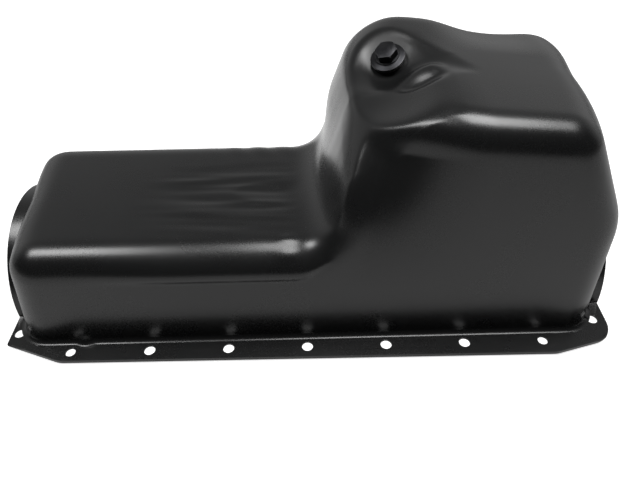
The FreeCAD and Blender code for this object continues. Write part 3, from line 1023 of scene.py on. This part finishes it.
@dataclass
class DrainPlug:
    """The drain plug: threaded shank, flange, collar and hexagon head."""

    seat: PlugSeat
    thread: float = 0.00635
    thread_depth: float = 0.00078
    pitch: float = 0.00127
    plain: float = 0.0026
    foot: float = 0.0018
    shank: float = 0.014
    flange: float = 0.01425
    flange_thick: float = 0.0024
    collar: float = 0.0096
    collar_height: float = 0.0012
    flats: float = 0.016
    head_height: float = 0.007
    hex_turn: float = 25.0
    crown: float = 0.0076
    dish: float = 0.0052
    dish_flat: float = 0.0043
    dish_depth: float = 0.0005

    def body(self) -> BMesh:
        """The turned flange and collar."""
        low, high = self.foot, self.foot + self.flange_thick
        top = high + self.collar_height
        edge = 0.0004
        return lathe(
            [
                (0, low), (self.flange - edge, low), (self.flange - 0.0001, low + 0.0001),
                (self.flange, low + edge), (self.flange, low + 0.0011),
                (self.flange - 0.0002, low + 0.0015), (self.flange - 0.0009, low + 0.0018),
                (self.collar + 0.0016, high - 0.0001), (self.collar + 0.0006, high + 0.0001),
                (self.collar + 0.0002, high + 0.0004), (self.collar, high + 0.0008),
                (self.collar - 0.0002, top - 0.0001), (self.collar - 0.0006, top), (0, top),
            ],
            segments=96,
        )

    def head(self) -> BMesh:
        """The hexagon with its chamfered crown and shallow dished top."""
        shape = bmesh.new()
        low = self.foot + self.flange_thick
        corner = self.flats / 2 / math.cos(math.pi / 6)
        rim = bmesh.ops.create_circle(shape, cap_ends=True, segments=6, radius=corner)["verts"]
        turn = Matrix.Rotation(math.radians(self.hex_turn), 4, "Z")
        bmesh.ops.transform(shape, matrix=Matrix.Translation((0, 0, low)) @ turn, verts=rim)
        height = self.collar_height + self.head_height
        bmesh.ops.translate(shape, vec=(0, 0, height), verts=raised_verts(shape, shape.faces[:]))
        bmesh.ops.subdivide_edges(shape, edges=shape.edges[:], cuts=11, use_grid_fill=True)
        top = low + height
        for vert in shape.verts:
            away = math.hypot(vert.co.x, vert.co.y)
            limit = top - max(away - self.crown, 0.0) * math.tan(math.radians(30))
            vert.co.z = min(vert.co.z, limit)
            if away < self.dish and vert.co.z > top - self.dish_depth:
                vert.co.z -= self.dish_depth * smoothstep(self.dish, self.dish_flat, away)
        sharp = [e for e in shape.edges if len(e.link_faces) == 2 and e.calc_face_angle(0) > 0.9]
        bmesh.ops.bevel(
            shape, geom=sharp, offset=0.00025, segments=2, profile=0.5, affect="EDGES", material=-1
        )
        bmesh.ops.recalc_face_normals(shape, faces=shape.faces)
        return shape

    def screw(self) -> BMesh:
        """The threaded shank, one turn of thread after another, with a plain point."""
        end = self.foot - self.shank
        root = self.thread - self.thread_depth
        turns = int((self.shank - self.plain) / self.pitch)
        point = 0.0012
        base = end + point
        shape = bmesh.new()
        tooth = [(root, 0.0), (self.thread, 0.40), (self.thread, 0.52), (root, 0.93), (root, 1.0)]
        corners = [shape.verts.new((r, 0, base + self.pitch * share)) for r, share in tooth]
        edges = [shape.edges.new(pair) for pair in zip(corners, corners[1:])]
        segments = 36
        bmesh.ops.spin(
            shape,
            geom=corners + edges,
            axis=(0, 0, 1),
            cent=(0, 0, 0),
            dvec=(0, 0, self.pitch / segments),
            angle=2 * math.pi * turns,
            steps=segments * turns,
            use_merge=False,
        )
        bmesh.ops.remove_doubles(shape, verts=shape.verts, dist=1e-6)
        core = [
            (0, end), (root - point, end), (root - 0.0001, end + 0.0011),
            (root + 0.00005, end + 0.0013), (root + 0.00005, self.foot),
        ]
        take_in(shape, lathe(core, segments))
        bmesh.ops.recalc_face_normals(shape, faces=shape.faces)
        return shape

    def build(self, material: Material) -> Object:
        """Build the plug and put it in place of the frame's node.

        Args:
            material: the plug's finish.

        Returns:
            The finished piece.
        """
        whole = self.body()
        for part in (self.head(), self.screw()):
            take_in(whole, part)
        bmesh.ops.transform(whole, matrix=self.seat.matrix, verts=whole.verts)
        piece = finish_piece("drain_plug_steel", whole, material, crease=28.0)
        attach(piece, "plug")
        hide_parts("drain_plug")
        return piece


@dataclass
class SealingWasher:
    """The rubber faced washer under the plug's flange."""

    seat: PlugSeat
    inner: float = 0.00665
    outer: float = 0.0132
    thick: float = 0.0018

    def build(self, material: Material) -> Object:
        """Build the washer and put it in place of the frame's node.

        Args:
            material: the washer's finish.

        Returns:
            The finished piece.
        """
        ring, edge = self.thick, 0.0005
        shape = lathe(
            [
                (self.inner, edge), (self.inner + edge, 0), (self.outer - edge, 0),
                (self.outer - edge / 3, edge / 3), (self.outer, edge), (self.outer, ring - edge),
                (self.outer - edge / 3, ring - edge / 3), (self.outer - edge, ring),
                (self.inner + edge, ring), (self.inner, ring - edge),
            ],
            segments=96,
            closed=True,
        )
        bmesh.ops.transform(shape, matrix=self.seat.matrix, verts=shape.verts)
        piece = finish_piece("sealing_washer", shape, material)
        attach(piece, "washer")
        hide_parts("drain_gasket")
        return piece


@dataclass
class WeldNut:
    """The nut welded inside the pan, under the plug."""

    seat: PlugSeat
    radius: float = 0.011
    height: float = 0.009
    bore: float = 0.0064

    def build(self, material: Material) -> Object:
        """Build the nut and put it in place of the frame's node.

        Args:
            material: the nut's finish.

        Returns:
            The finished piece.
        """
        top, low = -SHEET, -SHEET - self.height
        rim, mouth = 0.001, 0.0006
        shape = lathe(
            [
                (self.bore + mouth, top), (self.radius, top), (self.radius, low + rim),
                (self.radius - rim * 0.3, low + rim * 0.3), (self.radius - rim, low),
                (self.bore + mouth, low), (self.bore, low + mouth), (self.bore, top - mouth),
            ],
            segments=72,
            closed=True,
        )
        bead = lathe(
            [
                (self.radius - 0.0004, top + 0.0001), (self.radius + 0.0011, top + 0.0001),
                (self.radius + 0.0010, top - 0.0005), (self.radius + 0.0005, top - 0.0011),
                (self.radius - 0.0004, top - 0.0014),
            ],
            segments=72,
            closed=True,
        )
        take_in(shape, bead)
        bmesh.ops.transform(shape, matrix=self.seat.matrix, verts=shape.verts)
        piece = finish_piece("weld_nut_steel", shape, material)
        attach(piece, "pan")
        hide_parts("weld_nut")
        return piece


@dataclass
class Studio:
    """Floor, soft lights, room and camera."""

    eye: Point = (0.00625, -0.41182, 0.39533)
    yaw: float = 0.69
    pitch: float = 42.53
    roll: float = -0.89
    lens: float = 32.006
    dim: float = 0.03
    floor_grey: float = 0.56
    floor_glow: float = 0.78
    far_shine: float = 0.75

    def camera(self) -> None:
        """Stand the camera where the photograph was taken."""
        yaw, pitch, roll = (math.radians(a) for a in (self.yaw, self.pitch, self.roll))
        ahead = Vector(
            (math.sin(yaw) * math.cos(pitch), math.cos(yaw) * math.cos(pitch), -math.sin(pitch))
        )
        level = Vector((math.cos(yaw), -math.sin(yaw), 0))
        rise = level.cross(ahead)
        right = math.cos(roll) * level + math.sin(roll) * rise
        up = math.cos(roll) * rise - math.sin(roll) * level
        turn = Matrix((right, up, -ahead)).transposed().to_4x4()
        data = bpy.data.cameras.new("camera")
        data.sensor_width, data.lens = 36.0, self.lens
        data.clip_start, data.clip_end = 0.01, 50.0
        item = bpy.data.objects.new("camera", data)
        item.matrix_world = Matrix.Translation(self.eye) @ turn
        bpy.context.scene.collection.objects.link(item)
        bpy.context.scene.camera = item

    @staticmethod
    def lamp(name: str, place: Point, size: tuple[float, float], power: float) -> None:
        """Hang one soft box that faces straight down.

        Args:
            name: the lamp's name.
            place: where it hangs.
            size: its width and depth.
            power: its power in watts.
        """
        data = bpy.data.lights.new(name, "AREA")
        data.shape = "RECTANGLE"
        data.size, data.size_y = size
        data.energy = power
        item = bpy.data.objects.new(name, data)
        turn = Vector((0, 0, -place[2])).to_track_quat("-Z", "Y").to_matrix().to_4x4()
        item.matrix_world = Matrix.Translation(place) @ turn
        bpy.context.scene.collection.objects.link(item)

    def floor(self, height: float) -> None:
        """Lay the pale floor.

        Args:
            height: where the object stands.
        """
        shape = bmesh.new()
        bmesh.ops.create_grid(shape, x_segments=1, y_segments=1, size=4.0)
        bmesh.ops.translate(shape, vec=(0, 0, height), verts=shape.verts)
        material = bpy.data.materials.new("pale_floor")
        material.use_nodes = True
        tree = material.node_tree
        shader = tree.nodes["Principled BSDF"]
        shader.inputs["Base Color"].default_value = (*[self.floor_grey] * 3, 1)
        shader.inputs["Roughness"].default_value = 0.9
        shader.inputs["Specular IOR Level"].default_value = 0.1
        # The floor is bright to the camera. A patch behind the object shines in the paint.
        rays = add_node(tree, "ShaderNodeLightPath")
        where = add_node(tree, "ShaderNodeTexCoord")
        split = add_node(tree, "ShaderNodeSeparateXYZ")
        far = add_ramp(tree, (0.05, 0.25), (0.0, self.far_shine))
        across = add_ramp(tree, (-0.5, 0.5))
        left = add_node(tree, "ShaderNodeValToRGB")
        stops = left.color_ramp.elements
        black, white = (0, 0, 0, 1), (1, 1, 1, 1)
        stops[0].position, stops[0].color = 0.18, black
        stops[1].position, stops[1].color = 0.70, black
        for place in (0.22, 0.60):
            stops.new(place).color = white
        patch = add_math(tree, "MULTIPLY")
        seen = add_math(tree, "MULTIPLY")
        both = add_math(tree, "MULTIPLY_ADD")
        both.inputs[1].default_value = self.floor_glow
        glow = add_node(tree, "ShaderNodeEmission")
        total = add_node(tree, "ShaderNodeAddShader")
        output = tree.nodes["Material Output"]
        wire(
            tree,
            (where, "Object", split, 0),
            (split, "Y", far, "Value"),
            (split, "X", across, "Value"),
            (across, 0, left, 0),
            (far, 0, patch, 0),
            (left, 0, patch, 1),
            (patch, 0, seen, 0),
            (rays, "Is Glossy Ray", seen, 1),
            (rays, "Is Camera Ray", both, 0),
            (seen, 0, both, 2),
            (both, 0, glow, "Strength"),
            (shader, 0, total, 0),
            (glow, 0, total, 1),
            (total, 0, output, "Surface"),
        )
        item = finish_piece("floor", shape, material)

    def room(self) -> None:
        """A dim room with a pale backdrop low behind, white to the camera."""
        world = bpy.data.worlds.new("room")
        bpy.context.scene.world = world
        world.use_nodes = True
        tree = world.node_tree
        base = tree.nodes["Background"]
        where = add_node(tree, "ShaderNodeTexCoord")
        split = add_node(tree, "ShaderNodeSeparateXYZ")
        behind = add_ramp(tree, (-0.05, 0.35))
        height = add_ramp(tree, (0.30, 0.84), (0.46, 0.03))
        both = add_math(tree, "MULTIPLY")
        total = add_math(tree, "ADD")
        total.inputs[1].default_value = self.dim
        white = add_node(tree, "ShaderNodeBackground", Strength=1.0)
        white.inputs["Color"].default_value = (1, 1, 1, 1)
        rays = add_node(tree, "ShaderNodeLightPath")
        pick = add_node(tree, "ShaderNodeMixShader")
        output = tree.nodes["World Output"]
        base.inputs["Color"].default_value = (1, 1, 1, 1)
        wire(
            tree,
            (where, "Generated", split, 0),
            (split, "Y", behind, "Value"),
            (split, "Z", height, "Value"),
            (behind, 0, both, 0),
            (height, 0, both, 1),
            (both, 0, total, 0),
            (total, 0, base, "Strength"),
            (rays, "Is Camera Ray", pick, 0),
            (base, 0, pick, 1),
            (white, 0, pick, 2),
            (pick, 0, output, "Surface"),
        )

    def build(self) -> None:
        """Set up the whole studio."""
        self.camera()
        self.room()
        self.floor(CAD_BOX[0][2])
        self.lamp("overhead_left", (-0.80, -0.10, 1.35), (0.50, 0.50), 10.0)
        self.lamp("overhead_right", (0.34, -0.04, 1.35), (0.98, 0.60), 20.0)
        bpy.context.scene.view_settings.view_transform = "Standard"


def main() -> None:
    """Build the pieces in order and report each of them."""
    effects = Effects(make_orange_peel(), make_blotches(), make_pale_edges())
    seat = PlugSeat()
    Studio().build()
    paint = BLACK_PAINT.make(effects)
    made = [
        PanShell(seat).build(paint),
        DrainPlug(seat).build(PLUG_STEEL.make(effects)),
        SealingWasher(seat).build(WASHER_RUBBER.make(effects)),
        WeldNut(seat).build(NUT_STEEL.make(effects)),
    ]
    for piece in made:
        log.info("%s: %d faces", piece.name, len(piece.data.polygons))


if __name__ == "__main__":
    main()
